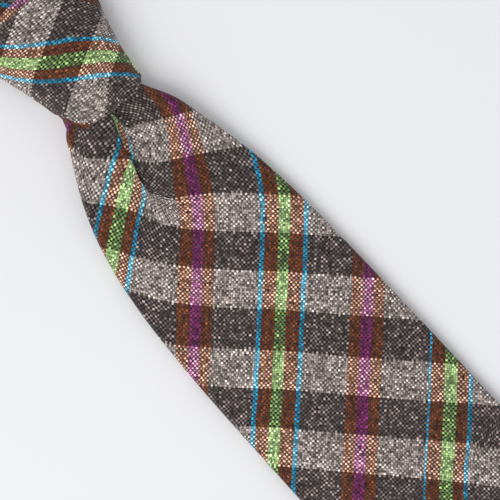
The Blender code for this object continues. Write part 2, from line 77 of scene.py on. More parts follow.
# ---- cloth
CLOTH, THIN_CLOTH, SATIN_CLOTH = 0.0006, 0.0005, 0.0002
SLIT_HALF = 0.0006
TURN_STEPS, BACK_COLUMNS = 8, 12
CLOSE_ROW, FAR_ROW = 0.0015, 0.0035

# The plaid, in millimetres along u and v.
THREAD_PITCH = 0.775
STRIPE_PERIOD, GREEN_AT, WEFT_SLANT = 59.2, 63.1, 0.055
BAND_PERIOD, LIGHT_AT, LIGHT_SHARE = 26.75, 52.9, 0.497

# ---- outlines: a CAD ring has more points than WHOLE_RING, and its back is read near its middle
WHOLE_RING, MIDDLE_SHARE = 100, 0.375

# ---- settling by cloth simulation
SETTLE_FRAMES, SETTLE_CAP = 14, 0.0005
SETTLE_SETTINGS = {
    "quality": 6, "mass": 0.15, "air_damping": 3.0, "tension_stiffness": 30.0,
    "compression_stiffness": 30.0, "shear_stiffness": 12.0, "bending_stiffness": 2.0,
    "vertex_group_mass": "held", "pin_stiffness": 1.0, "use_pressure": True,
    "uniform_pressure_force": 3.0,
}


def smooth(t):
    """0 to 1 with level ends, for t from 0 to 1."""
    t = np.clip(t, 0.0, 1.0)
    return t * t * (3 - 2 * t)


def curve(*points):
    """A smooth function through (place, value) points, level beyond its ends."""
    xs, ys = np.array(points, float).T
    rise = np.diff(ys) / np.diff(xs)
    product, total = rise[:-1] * rise[1:], rise[:-1] + rise[1:]
    turning = np.where(product > 0, 2 * product / np.where(total == 0, 1, total), 0)
    slopes = np.concatenate([rise[:1], turning, rise[-1:]])

    def value(x):
        x = np.clip(x, xs[0], xs[-1])
        i = np.clip(np.searchsorted(xs, x) - 1, 0, len(xs) - 2)
        span = xs[i + 1] - xs[i]
        t = (x - xs[i]) / span
        near = (1 + 2 * t) * (1 - t) ** 2 * ys[i] + t * (1 - t) ** 2 * span * slopes[i]
        return near + t * t * (3 - 2 * t) * ys[i + 1] + t * t * (t - 1) * span * slopes[i + 1]

    return value


def millimetre_curve(*points):
    """curve, with its points in millimetres and its function in metres."""
    value = curve(*points)
    return lambda x: value(np.asarray(x) / MM) * MM


def down_curve(*points):
    """millimetre_curve of the distance down the blade, level from its last point on."""
    return millimetre_curve(*points, (430, points[-1][1]))


def rows_down(low, high, step):
    """Evenly spaced places, about a step apart."""
    return np.linspace(low, high, max(2, round((high - low) / step) + 1))


def middle_of(node):
    """The middle of a node's box."""
    return [(low + high) / 2 for low, high in zip(*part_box(node))]


# ---- meshes


def spots(x, y, z):
    """Points from coordinates that are arrays or single numbers."""
    return np.stack(np.broadcast_arrays(x, y, z), axis=-1)


def threads_at(a, t):
    """Cloth coordinates along the threads, in millimetres."""
    return np.stack([(a + t) / sqrt(2), (t - a) / sqrt(2)], axis=-1) / MM


def link(name, data):
    made = bpy.data.objects.new(name, data)
    bpy.context.scene.collection.objects.link(made)
    return made


def sheet(name, points, uvs, material, thickness, offset=-1.0):
    """A thin solid from a grid of quads through points[row][column], with UVs. Its front is on
    the left of a column's way along a row."""
    rows, columns = points.shape[:2]
    index = np.arange(rows * columns).reshape(rows, columns)
    quads = np.stack(
        [index[:-1, :-1], index[1:, :-1], index[1:, 1:], index[:-1, 1:]], axis=-1
    ).reshape(-1, 4)
    data = bpy.data.meshes.new(name)
    data.from_pydata(points.reshape(-1, 3).tolist(), [], quads.tolist())
    layer = data.uv_layers.new(name="threads")
    layer.data.foreach_set("uv", uvs.reshape(-1, 2)[quads.reshape(-1)].astype(np.float32).ravel())
    data.materials.append(material)
    data.shade_smooth()
    made = link(name, data)
    solid = made.modifiers.new("thickness", "SOLIDIFY")
    solid.thickness, solid.offset, solid.use_even_offset = thickness, offset, False
    return made


def tube(name, paths, radius):
    """Round threads along paths of points, each one closed at its ends."""
    data = bpy.data.curves.new(name, "CURVE")
    data.dimensions = "3D"
    data.bevel_depth, data.bevel_resolution, data.resolution_u = radius, 1, 3
    data.use_fill_caps = True
    for path in paths:
        spline = data.splines.new("NURBS" if len(path) > 3 else "POLY")
        spline.points.add(len(path) - 1)
        for point, place in zip(spline.points, path):
            point.co = (*place, 1)
        if spline.type == "NURBS":
            spline.use_endpoint_u = True
            spline.order_u = 3
    curve_object = bpy.data.objects.new(name, data)
    mesh = bpy.data.meshes.new_from_object(curve_object)
    bpy.data.objects.remove(curve_object)
    bpy.data.curves.remove(data)
    mesh.name = name
    mesh.materials.clear()
    mesh.materials.append(THREAD)
    mesh.shade_smooth()
    return link(name, mesh)


def settle(piece, share):
    """Lets the cloth swell and crease under a light pressure from inside, by cloth simulation.
    Its UVs stay. No point moves further than the cap, nor a point with share 0 at all."""
    mesh, scene = piece.data, bpy.context.scene
    rest = np.empty((len(mesh.vertices), 3), np.float32)
    mesh.vertices.foreach_get("co", rest.reshape(-1))
    held = piece.vertex_groups.new(name="held")
    weights = 1 - share(rest)
    for index, weight in enumerate(weights):
        held.add([index], float(weight), "REPLACE")
    cloth = piece.modifiers.new("settle", "CLOTH")
    piece.modifiers.move(len(piece.modifiers) - 1, 0)
    piece.modifiers["thickness"].show_viewport = False
    for name, value in SETTLE_SETTINGS.items():
        setattr(cloth.settings, name, value)
    cloth.settings.effector_weights.gravity = 0.0
    cloth.collision_settings.use_collision = cloth.collision_settings.use_self_collision = False
    cloth.point_cache.frame_start, cloth.point_cache.frame_end = 1, SETTLE_FRAMES
    for frame_number in range(1, SETTLE_FRAMES + 1):
        scene.frame_set(frame_number)
    settled = piece.evaluated_get(bpy.context.evaluated_depsgraph_get()).to_mesh()
    moved = np.empty_like(rest)
    settled.vertices.foreach_get("co", moved.reshape(-1))
    move = (moved - rest) * (1 - weights)[:, None]
    length = np.maximum(np.linalg.norm(move, axis=1), 1e-9)[:, None]
    move *= np.tanh(length / SETTLE_CAP) * SETTLE_CAP / length
    piece.modifiers.remove(cloth)
    piece.vertex_groups.remove(held)
    piece.modifiers["thickness"].show_viewport = True
    scene.frame_set(1)
    mesh.vertices.foreach_set("co", (rest + move).astype(np.float32).ravel())
    mesh.update()


# ---- node materials


class Nodes:
    """A material's node tree, built from short calls. Inputs are sockets or plain values."""

    def __init__(self, name):
        self.material = bpy.data.materials.new(name)
        self.material.use_nodes = True
        self.tree = self.material.node_tree
        self.shader = self.tree.nodes["Principled BSDF"]

    def add(self, kind, inputs=(), output=0, **settings):
        node = self.tree.nodes.new(kind)
        for key, value in settings.items():
            setattr(node, key, value)
        named = inputs.items() if isinstance(inputs, dict) else enumerate(inputs)
        for key, value in named:
            self.join(value, node.inputs[key])
        return node.outputs[output]

    def join(self, value, socket):
        if isinstance(value, bpy.types.NodeSocket):
            self.tree.links.new(value, socket)
        else:
            socket.default_value = value

    def math(self, operation, *inputs):
        return self.add("ShaderNodeMath", inputs, operation=operation)

    def times(self, *inputs):
        return self.math("MULTIPLY", *inputs)

    def plus(self, *inputs):
        return self.math("ADD", *inputs)

    def minus(self, *inputs):
        return self.math("SUBTRACT", *inputs)

    def mix(self, share, first, second, blend="MIX"):
        node = self.tree.nodes.new("ShaderNodeMix")
        node.data_type, node.blend_type = "RGBA", blend
        for value, socket in zip((share, first, second), (node.inputs[0], *node.inputs[6:8])):
            self.join((*value, 1) if isinstance(value, tuple) else value, socket)
        return node.outputs[2]

    def tint(self, colour, *tones):
        """The colour, made lighter or darker by each tone."""
        return self.mix(1.0, colour, reduce(self.times, tones), "MULTIPLY")

    def between(self, value, low, high):
        """The value, 0 to 1, moved to low to high."""
        return self.math("MULTIPLY_ADD", value, high - low, low)

    def threads(self):
        """The place on the cloth, whole and as (u, v)."""
        place = self.add("ShaderNodeUVMap", uv_map="threads")
        node = self.tree.nodes.new("ShaderNodeSeparateXYZ")
        self.join(place, node.inputs[0])
        return place, node.outputs[:2]

    def pair(self, x, y):
        return self.add("ShaderNodeCombineXYZ", (x, y, 0.0))

    def random(self, x, y):
        """A random number, 0 to 1, for each pair of whole numbers."""
        return self.add("ShaderNodeTexWhiteNoise", {"Vector": self.pair(x, y)})

    def noise(self, place, scale, detail=2.0, roughness=0.5):
        inputs = {"Vector": place, "Scale": scale, "Detail": detail, "Roughness": roughness}
        return self.add("ShaderNodeTexNoise", inputs)

    def bump(self, strength, distance, height):
        inputs = {"Strength": strength, "Distance": distance, "Height": height}
        return self.add("ShaderNodeBump", inputs)

    def steps(self, value, stops):
        """A colour or a tone that changes at once at each (place, colour) stop."""
        node = self.tree.nodes.new("ShaderNodeValToRGB")
        node.color_ramp.interpolation = "CONSTANT"
        points = node.color_ramp.elements
        for k, (place, colour) in enumerate(stops):
            point = points[k] if k < 2 else points.new(place)
            point.position, point.color = place, (*np.broadcast_to(colour, 3), 1)
        self.join(value, node.inputs[0])
        return node.outputs[0]

    def finish(self, colour, roughness, **others):
        for name, value in {"Base_Color": colour, "Roughness": roughness, **others}.items():
            self.join(value, self.shader.inputs[name.replace("_", " ")])
        return self.material


# The plaid's stripes from the middle of a green one to the middle of a magenta one, their edges
# in millimetres, and for each its threads and how much of them shows in a dark band.
STRIPES = ("green", "brown", "cyan", "grey", "brown", "magenta")
STRIPE_EDGES = (0.0, 2.17, 6.4, 7.97, 23.5, 27.5)
WARP = {
    "green": (0.245, 0.420, 0.125),
    "brown": (0.182, 0.052, 0.018),
    "cyan": (0.022, 0.270, 0.450),
    "grey": (0.195, 0.155, 0.142),
    "magenta": (0.225, 0.026, 0.140),
}
LIGHT_WEFT = {
    "green": (0.62, 0.78, 0.40),
    "brown": (0.76, 0.50, 0.38),
    "cyan": (0.45, 0.86, 0.96),
    "grey": (0.53, 0.46, 0.42),
    "magenta": (0.76, 0.46, 0.56),
}
DARK_WEFT, FLECK = (0.031, 0.023, 0.024), (0.50, 0.42, 0.36)
FULLNESS = {"green": 0.30, "brown": 0.62, "cyan": 0.62, "grey": 0.08, "magenta": 0.55}
LIGHT_FULLNESS = 0.55


def stripe_stops(values):
    half = STRIPE_PERIOD / 2
    return [(edge / half, values[stripe]) for edge, stripe in zip(STRIPE_EDGES, STRIPES)]


def plaid():
    """Coarse plain weave: striped threads along v, crossed by light and dark bands of weft."""
    n = Nodes("plaid_cloth")
    place, parts = n.threads()
    along = []
    for axis, part in enumerate(parts):
        beside = n.add("ShaderNodeVectorMath", (place, (37.0 * axis, 11.0, 0.0)))
        wander = n.between(n.noise(beside, 0.22, 4.0, 0.55), -0.5, 0.5)
        along.append(n.math("DIVIDE", n.plus(wander, part), THREAD_PITCH))
    u, v = along
    past_green = n.math("MAXIMUM", n.minus(u, GREEN_AT / THREAD_PITCH), 0.0)
    v = n.minus(v, n.times(past_green, WEFT_SLANT))
    i, j = n.math("FLOOR", u), n.math("FLOOR", v)

    heights = []
    for over, under, sign, position in ((v, i, 1.0, u), (u, j, -1.0, v)):
        wave = n.times(n.math("SINE", n.times(n.plus(over, under), pi)), sign)
        middle = n.minus(n.math("FRACT", position), 0.5)
        heights.append(n.plus(wave, n.times(n.times(middle, middle), -3.0)))
    warp_height, weft_height = heights
    on_top = n.math("MAXIMUM", *heights)

    def repeats(thread, start, period):
        """How many repeats of the plaid a thread lies past a place."""
        middle = n.times(n.plus(thread, 0.5), THREAD_PITCH)
        return n.math("DIVIDE", n.minus(middle, start), period)

    from_green = n.times(n.math("PINGPONG", repeats(i, GREEN_AT, STRIPE_PERIOD), 0.5), 2.0)
    band = n.math("FRACT", repeats(j, LIGHT_AT, BAND_PERIOD))
    is_light = n.math("LESS_THAN", band, LIGHT_SHARE)
    fill = n.steps(from_green, stripe_stops(FULLNESS))
    fullness = n.times(fill, n.between(is_light, 2.0, 2.0 * LIGHT_FULLNESS))
    fluff = n.between(n.noise(place, 3.2, 3.0, 0.6), -0.9, 0.9)
    covering = n.plus(warp_height, n.plus(fullness, fluff))
    warp_shows = n.math("GREATER_THAN", covering, weft_height)
    warp = n.steps(from_green, stripe_stops(WARP))
    weft = n.mix(is_light, DARK_WEFT, n.steps(from_green, stripe_stops(LIGHT_WEFT)))

    cell = n.random(i, j)
    heather = n.noise(place, 0.9, 4.0, 0.75)
    warp_slubs = n.noise(n.pair(n.times(i, 5.3), n.times(v, 0.35)), 1.0)
    weft_slubs = n.noise(n.pair(n.times(u, 0.35), n.times(j, 5.3)), 1.0)
    salt = n.between(n.math("POWER", cell, 2.5), -0.6, 1.7)
    warp = n.tint(
        warp, n.between(n.random(i, 0.37), 0.8, 1.2),
        n.math("MULTIPLY_ADD", salt, n.minus(1.0, fill), 1.0),
        n.between(warp_slubs, -0.7, 2.7), n.between(heather, 0.2, 1.8),
    )
    weft = n.tint(
        weft, n.between(n.random(0.71, j), 0.8, 1.2), n.between(cell, 1.5, 0.5),
        n.between(weft_slubs, -1.1, 3.1), n.between(heather, -0.1, 2.1),
    )
    # Painted shade: by thread height, the colour darkens in the gaps between threads and turns
    # slightly lighter on their crowns.
    painted_thread_shade = n.add("ShaderNodeMapRange", (on_top, -0.6, 0.9, 0.45, 1.08))
    woven = n.tint(n.mix(warp_shows, weft, warp), painted_thread_shade)
    flecks = n.math("GREATER_THAN", n.noise(place, 1.7, 2.0, 0.4), 0.74)
    return n.finish(
        n.mix(n.times(flecks, 0.6), woven, FLECK), 0.92, Normal=n.bump(0.8, 0.00016, on_top),
        Sheen_Weight=0.12, Sheen_Roughness=0.6, Specular_IOR_Level=0.15,
    )


def felt():
    """Brushed wool interlining."""
    n = Nodes("interlining_felt")
    place = n.add("ShaderNodeTexCoord", output=3)
    hairs = n.noise(place, 1800.0, 4.0, 0.7)
    colour = n.mix(n.noise(place, 160.0, 3.0), (0.62, 0.58, 0.50), (0.74, 0.71, 0.63))
    colour = n.mix(n.times(hairs, 0.35), colour, (0.40, 0.36, 0.30))
    return n.finish(colour, 0.95, Normal=n.bump(0.6, 0.0002, hairs), Sheen_Weight=0.3)


def satin():
    """Dark lining cloth behind both points."""
    n = Nodes("tipping_satin")
    place, (u, v) = n.threads()
    floats = n.math("SINE", n.times(n.plus(u, v), 18.0))
    ribs = n.math("SINE", n.times(u, 30.0))
    bump = n.bump(0.35, 0.00005, n.math("MULTIPLY_ADD", floats, 0.5, n.times(ribs, 0.5)))
    colour = n.mix(n.noise(place, 0.15, 3.0), (0.030, 0.024, 0.028), (0.060, 0.046, 0.050))
    return n.finish(colour, 0.38, Normal=bump, Anisotropic=0.6, Sheen_Weight=0.2)


def sewing_thread():
    """Twisted dark thread."""
    n = Nodes("sewing_thread")
    inputs = {"Vector": n.add("ShaderNodeTexCoord", output=3), "Scale": 900.0, "Distortion": 2.0}
    twist = n.add("ShaderNodeTexWave", inputs, 1, bands_direction="DIAGONAL")
    colour = n.mix(twist, (0.055, 0.035, 0.028), (0.120, 0.085, 0.070))
    return n.finish(colour, 0.6, Normal=n.bump(0.5, 0.00006, twist), Sheen_Weight=0.2)


def label_tape():
    """Blank woven label tape."""
    n = Nodes("label_tape")
    place, parts = n.threads()
    height = n.times(*(n.math("SINE", n.times(part, 22.0)) for part in parts))
    colour = n.mix(n.noise(place, 0.6, 3.0), (0.66, 0.64, 0.58), (0.76, 0.74, 0.69))
    return n.finish(colour, 0.55, Normal=n.bump(0.5, 0.00005, height), Sheen_Weight=0.15)


PLAID, FELT, SATIN, THREAD, TAPE = plaid(), felt(), satin(), sewing_thread(), label_tape()


def stands_for(piece, move, *nodes):
    """The piece replaces the nodes, which it hides. It moves with one body, by name, or is handed
    to one of the bend functions."""
    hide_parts(*nodes)
    if isinstance(move, str):
        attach(piece, move)
    else:
        move(piece)


def bend(height=0.0):
    """A function that bakes a piece's place into its mesh; it neither bends the piece nor attaches
    it to a body.
    """
    return lambda piece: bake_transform(piece)


STRAP_X, _, STRAP_Z = middle_of("strap_right_shell")
bend_at_knot = bend()
bend_at_tip = bend()
bend_at_tail_tip = bend()
bend_at_collar = bend(
    STRAP_Z,
)


# ---- folded cloth


def outline(*nodes):
    """Functions of the distance down for a folded cloth's left and right edges, its front and
    back at the middle and its edges' height, read off its CAD nodes."""
    rows = {}
    for node in nodes:
        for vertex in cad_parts[node].data.vertices:
            rows.setdefault(round(KNOT_LOW - vertex.co.y, 4), []).append(vertex.co.copy())
    table = []
    for down, places in sorted(rows.items()):
        if len(places) < WHOLE_RING:
            continue
        left, right = min(places, key=lambda p: p.x), max(places, key=lambda p: p.x)
        reach = (right.x - left.x) * MIDDLE_SHARE
        heights = [p.z for p in places]
        near = [p.z for p in places if abs(p.x - (left.x + right.x) / 2) < reach] or heights
        table.append((down, left.x, right.x, max(heights), min(near), (left.z + right.z) / 2))
    table = np.array(table)
    return [curve(*table[:, (0, k)]) for k in range(1, 6)]


def sides_of(cloth, margin=0.0):
    """Edges of a layer inside a folded cloth, a margin in from the cloth's own."""
    return lambda down: (cloth[0](down) + margin, cloth[1](down) - margin)


def folded_ring(left, right, back, middle, radius, slit, front_x, front_z, front_a):
    """One ring round a folded cloth: x, z and a, from the slit's left lip round the left edge,
    over the front and round the right edge to the slit's right lip."""
    share = np.linspace(0, 1, BACK_COLUMNS)
    turns = np.linspace(-pi / 2, pi / 2, TURN_STEPS + 2)[1:-1]
    x_from, x_to = left + radius, right - radius
    lip_left, lip_right = (left + right) / 2 - slit, (left + right) / 2 + slit
    x_left = lip_left + (x_from - lip_left) * share
    x_right = x_to + (lip_right - x_to) * share
    sag = middle - radius
    z_left = back + (sag - back) * share ** 4
    z_right = back + (sag - back) * (1 - share) ** 4
    turned_x, turned_z = radius * np.cos(turns), radius * np.sin(turns)
    x = np.concatenate([x_left, x_from - turned_x, front_x, x_to + turned_x, x_right])
    z = np.concatenate([z_left, middle + turned_z, front_z, middle - turned_z, z_right])
    roll = radius * (turns + pi / 2)
    around_left, around_right = front_a[0] - (pi * radius - roll), front_a[-1] + roll
    back_left = around_left[0] - (x_left - x_from)
    back_right = around_right[-1] + (x_to - x_right)
    a = np.concatenate([back_left, around_left, front_a, around_right, back_right])
    return x, z, a


# ---- blade

# Left, right, front, back and edge height, as outline gives them.
BLADE = outline("blade_shell", "blade_tip_shell")
BLADE_CLOTH_X, RIGHT_FOLD_A = -0.0031, 0.0309
BLADE_SPLIT_DOWN, BLADE_INSIDE = 0.170, 0.009
LOBE_COLUMNS, PLEAT_COLUMNS, RIGHT_COLUMNS = 30, 25, 34
POINT_ROUND = 0.0017

# The dimple's pleat: its half width, middle, overlap, step down to the right and dip.
PLEAT_HALF = down_curve((-9, 0.8), (2.8, 1.1), (7.9, 2.5), (10.4, 2.9), (20, 3.0))
PLEAT_X = down_curve(
    (-9, -1.4), (2.8, -2.1), (7.9, -4.0), (10.4, -4.9), (14.3, -7.2), (17.9, -8.7), (21.4, -9.9),
    (25.9, -10.9), (32.8, -10.4), (39.7, -9.4), (52, -8.6), (200, -8.55),
)
PLEAT_OVERLAP = down_curve(
    (-9, 0.1), (2.8, 0.15), (6.4, 0.3), (9.7, 0.6), (14, 1.6), (20, 2.6), (26, 1.8), (35, 0.0),
)
PLEAT_STEP = down_curve(
    (-9, 3.0), (6, 3.0), (14, 2.7), (20, 2.2), (28, 1.5), (36, 0.7), (48, 0.15), (60, 0.0),
)
DIMPLE = down_curve((-9, 0.0), (15, 0.0), (28, 0.8), (36, 1.1), (46, 0.6), (62, 0.0))

# Places on the cloth, from the pleat's left end to its right end, at PLEAT_SHARES of its width.
HIDDEN_LEFT = down_curve(
    (-9, -16.4), (3, -16.6), (7.9, -18.3), (14, -19.6), (18.7, -20.0), (26.4, -19.0), (31, -17.4),
    (37, -13.3), (44, -10.1), (52, -8.9), (64, -8.45),
)
RIDGE = millimetre_curve(
    (-9, -15.2), (3, -15.6), (7.9, -16.2), (18.7, -16.0), (25, -12.3), (430, -12.0),
)
FACE_LEFT = down_curve((-9, 0.0), (3, 0.3), (6.9, 0.5), (10.1, -3.0), (14.3, -4.5), (18.7, -3.0))
FACE_RIGHT = down_curve((-9, 3.5), (3, 3.5), (6.9, 5.0), (10.1, 4.4), (14.3, -0.3), (18.7, -1.5))
HIDDEN_RIGHT = down_curve(
    (-9, 16.0), (0, 15.5), (3.4, 14.0), (7, 10.5), (10.1, 8.0), (15.5, 2.9), (17.9, 1.0),
    (21.4, 0.8), (25.9, 0.5), (34.5, 0.0), (44.0, -1.9), (52.0, -2.4), (64, -2.45),
)
PLEAT_SHARES = (-1, -0.3, -0.2, 0.84, 1)
CREASE_OPENS, CREASE_OPEN_OVER = 0.025, 0.011

# The gathered edges: the cloth's place at the left fold, and how its threads crowd and slip.
LEFT_FOLD = down_curve(
    (-9, -35.8), (2, -36.0), (16, -37.0), (28, -38.3), (41, -40.0), (51, -40.4), (75, -41.4),
)
LEFT_SLIP = down_curve((-9, 3.0), (2, 3.0), (28, 3.5), (51, 3.8), (62, 2.0), (78, 0.0))
EDGE_CROWDING = down_curve((-9, 300), (0, 300), (12, 160), (26, 0))
SHEAR_LEFT, SHEAR_RIGHT, SHEAR_RIGHT_EDGE = 0.0017, -0.0017, 0.0069
SHEAR_FROM, SHEAR_OVER = 0.0276, 0.0414
PLEAT_SHEAR_FROM, PLEAT_SHEAR_OVER = 0.0207, 0.0276

# The blade's sides inside the knot, its right shoulder, and its narrowing end.
TUCKED_LEFT = millimetre_curve((-9, 8.0), (-5, 4.5), (-3, 2.4), (0, 0.5), (1.5, 0.0))
TUCKED_RIGHT = millimetre_curve((-9, 5.0), (-3, 1.6), (0, 0.4), (1.5, 0.0))
SHOULDER_BULGE, SHOULDER_DOWN, SHOULDER_REACH = 0.0012, 0.012, 0.008
NARROW_HALF, NARROW_OVER = 0.020, 0.008

# The front's relief: a flat arch, a crown beside the pleat and the reach of the step beyond it.
ARCH, CROWN, CROWN_REACH, STEP_REACH = 0.0004, 0.0005, 0.005, 0.013


def cloth_slip(a, down, a_left, a_right, pleat_left, pleat_right):
    """How far down the cloth its threads lie from where they would on an ungathered blade."""
    fade = 1 - smooth((down - SHEAR_FROM) / SHEAR_OVER)
    share = 2 * (a - a_left) / (a_right - a_left) - 1
    edge = np.where(share < 0, LEFT_SLIP(down), fade * SHEAR_RIGHT_EDGE)
    share = share ** 2
    parted = 1 - smooth((down - PLEAT_SHEAR_FROM) / PLEAT_SHEAR_OVER)
    side = smooth((a - pleat_left) / (pleat_right - pleat_left)) - 0.5
    middle = (SHEAR_LEFT + SHEAR_RIGHT) / 2 + (SHEAR_RIGHT - SHEAR_LEFT) * side * parted
    return edge * share + fade * middle * (1 - share)


def blade_ring(down):
    """Points and cloth coordinates round the blade at one distance down."""
    left, right, front, back, edge = (side(down) for side in BLADE)
    if down < BLADE_TOP_DOWN:
        left, right = left + TUCKED_LEFT(down), right - TUCKED_RIGHT(down)
    right += SHOULDER_BULGE * exp(-((down - SHOULDER_DOWN) / SHOULDER_REACH) ** 2)
    half, centre = (right - left) / 2, (left + right) / 2
    radius = min((front - back) / 2, half * 0.8)
    x_left, x_right = left + radius, right - radius
    pleat, reach = PLEAT_X(down), min(PLEAT_HALF(down), half * 0.25)
    if half < NARROW_HALF:
        pleat = pleat + (centre - pleat) * smooth((NARROW_HALF - half) / NARROW_OVER)
    start, end = pleat - reach, pleat + reach
    a_left = min(LEFT_FOLD(down), left - BLADE_CLOTH_X) + pi / 2 * radius
    a_right = max(RIGHT_FOLD_A, right - BLADE_CLOTH_X) - pi / 2 * radius
    hidden_left, hidden_right = HIDDEN_LEFT(down), HIDDEN_RIGHT(down)
    if down > BLADE_SPLIT_DOWN:
        a_left, a_right = left - BLADE_CLOTH_X, right - BLADE_CLOTH_X
        hidden_left, hidden_right = start - BLADE_CLOTH_X, end - BLADE_CLOTH_X

    q = np.linspace(-1, 1, PLEAT_COLUMNS)
    lobe = np.linspace(x_left, start, LOBE_COLUMNS)[:-1]
    rest = np.linspace(end, x_right, RIGHT_COLUMNS)[1:]
    x = np.concatenate([lobe, pleat + reach * q - PLEAT_OVERLAP(down) * np.sin(pi * q), rest])
    crease = (hidden_left, *(face(down) for face in (RIDGE, FACE_LEFT, FACE_RIGHT)), hidden_right)
    folds = np.interp(q, PLEAT_SHARES, crease)
    unfolded = smooth((down - CREASE_OPENS) / CREASE_OPEN_OVER)
    folds += (hidden_left + (hidden_right - hidden_left) * (q + 1) / 2 - folds) * unfolded
    crowding, out = EDGE_CROWDING(down), (start - lobe) / (start - x_left)
    a = np.concatenate([
        hidden_left + (a_left - hidden_left) * (out * (1 - crowding) + crowding * out ** 6),
        folds,
        np.interp(rest, (end, x_right), (hidden_right, a_right)),
    ])

    across = np.clip((x - centre) / (half - radius), -1, 1)
    sag = (front - edge - radius) * smooth((np.abs(across) - 0.5) / 0.5) + ARCH * across ** 2
    step = PLEAT_STEP(down)
    fall = step * np.concatenate([
        np.zeros(len(lobe)), smooth((q + 0.75) / 1.4), 1 - smooth((rest - end) / STEP_REACH),
    ])
    crown = CROWN * np.exp(-((x - start + 0.001) / CROWN_REACH) ** 2) * min(1.0, step / 0.002)
    dip = DIMPLE(down) * np.exp(-((x - pleat - 0.001) / CROWN_REACH) ** 2)
    z = front - sag - fall + crown - dip
    middle = back + radius if half < NARROW_HALF else z[0] - radius
    x, z, a = folded_ring(left, right, back, middle, radius, blade_slit(down), x, z, a)
    return x, z, a, down + cloth_slip(a, down, a_left, a_right, hidden_left, hidden_right)


def blade_slit(down):
    """Half the gap between the back folds: a slit, then a V over the tipping."""
    left, right = sides_of(BLADE)(down)
    half, hem = (right - left) / 2, 0.012
    opened = smooth((down - 0.352) / 0.040) * (half - hem)
    return max(SLIT_HALF, min(opened, half - 0.004))


def grid_of(ring, downs, closing=0.0):
    """Points and UVs of a cloth from its rings. Its end is rounded shut over the closing length."""
    points, uvs = [], []
    for down in downs:
        x, z, a, t = ring(down)
        points.append(spots(x, KNOT_LOW - down, z))
        uvs.append(threads_at(a, t))
    if closing:
        last, middle = points[-1], (points[-1].min(axis=0) + points[-1].max(axis=0)) / 2
        for turn in np.linspace(0, pi / 2, 6)[1:]:
            shrunk = middle + (last - middle) * max(cos(turn), 0.02)
            shrunk[:, 1] -= closing * sin(turn)
            points.append(shrunk)
            uvs.append(uvs[-1] + closing / 5 / MM / sqrt(2))
    return np.array(points), np.array(uvs)


def back_height(down, x):
    """Height of the blade's back at a place across it."""
    left, right, front, back, edge = (side(down) for side in BLADE)
    radius = min((front - back) / 2, (right - left) * 0.4)
    share = np.abs(x - (left + right) / 2) / ((right - left) / 2 - radius)
    return back + (edge - radius - back) * share ** 4


def flat_layer(name, downs, sides, height, cloth, material, columns=11):
    """A flat layer: sides(down) gives its left and right edges, height(down, x) its middle."""
    rows, uvs = [], []
    for down in downs:
        x = np.linspace(*sides(down), columns)
        rows.append(spots(x, KNOT_LOW - down, height(down, x)))
        uvs.append(threads_at(x, down))
    return sheet(name, np.array(rows), np.array(uvs), material, cloth, 0.0)


def above_back(lift):
    return lambda down, x: back_height(down, x) + lift


def blade_front_share(points):
    """1 over the blade's front, 0 behind it, at the knot, and where its two cloths meet."""
    down = KNOT_LOW - points[:, 1]
    front, back = BLADE[2](down), BLADE[3](down)
    height = (points[:, 2] - back) / (front - back)
    apart = smooth((np.abs(down - BLADE_SPLIT_DOWN) - 0.002) / 0.012)
    return smooth((height - 0.5) / 0.35) * smooth((down - 0.001) / 0.010) * apart


def build_blade():
    near = rows_down(-BLADE_INSIDE, BLADE_SPLIT_DOWN, CLOSE_ROW)
    upper = sheet("front_blade_cloth", *grid_of(blade_ring, near), PLAID, CLOTH)
    settle(upper, blade_front_share)
    stands_for(upper, bend_at_knot, "blade_shell")
    far = np.concatenate([
        rows_down(BLADE_SPLIT_DOWN, 0.385, FAR_ROW),
        rows_down(0.386, BLADE_END_DOWN - POINT_ROUND, 0.0012),
    ])
    lower = sheet("blade_point_cloth", *grid_of(blade_ring, far, POINT_ROUND), PLAID, CLOTH)
    settle(lower, blade_front_share)
    stands_for(lower, bend_at_tip, "blade_tip_shell")


def build_blade_layers():
    """The felt and the satin inside the blade."""
    felt_lift, satin_lift, felt_sides = 0.0009, 0.0007, sides_of(BLADE, 0.0045)
    stands_for(flat_layer(
        "blade_felt_upper", rows_down(BLADE_TOP_DOWN, BLADE_SPLIT_DOWN, 0.006), felt_sides,
        above_back(felt_lift), THIN_CLOTH, FELT,
    ), bend_at_knot, "blade_interlining")
    stands_for(flat_layer(
        "blade_felt_lower", rows_down(BLADE_SPLIT_DOWN, 0.410, 0.006), felt_sides,
        above_back(felt_lift + satin_lift), THIN_CLOTH, FELT,
    ), bend_at_tip, "blade_tip_interlining")
    stands_for(flat_layer(
        "blade_tipping_satin", rows_down(0.346, 0.4205, 0.002), sides_of(BLADE, 0.0022),
        above_back(satin_lift), SATIN_CLOTH, SATIN, 25,
    ), bend_at_tip, "blade_tipping")


# ---- threads, label and keeper

THREAD_RADIUS, FINE_THREAD = 0.00024, 0.00014
STITCH_HALF, STITCH_EVERY = 0.0011, 0.007
ALONG_X, ALONG_Y = (1, 0, 0), (0, 1, 0)


def slip_stitches(name, places, node, body):
    """Long stitches from lip to lip of a back slit. places put (across, up) points at each turn."""
    up, path = -0.0001 - THREAD_RADIUS, []
    for k, place in enumerate(places):
        path.append(place(STITCH_HALF if k % 2 else -STITCH_HALF, up))
    stands_for(tube(name, [path], THREAD_RADIUS), body, node)


def bar_tack(name, centre, along, across, length, move, node):
    """A bar of thread wound tightly round its own middle."""
    turns, radius = round(length / (THREAD_RADIUS * 2.1)), 0.0006
    centre, along, across = (np.array(v, float) for v in (centre, along, across))
    up, path = np.cross(along, across), []
    for k in range(turns * 6 + 1):
        angle, run = k * pi / 3, (k / (turns * 6) - 0.5) * length
        round_it = across * radius * cos(angle) + up * radius * 0.4 * sin(angle)
        path.append(centre + along * run + round_it)
    stands_for(tube(name, [path], THREAD_RADIUS), move, node)


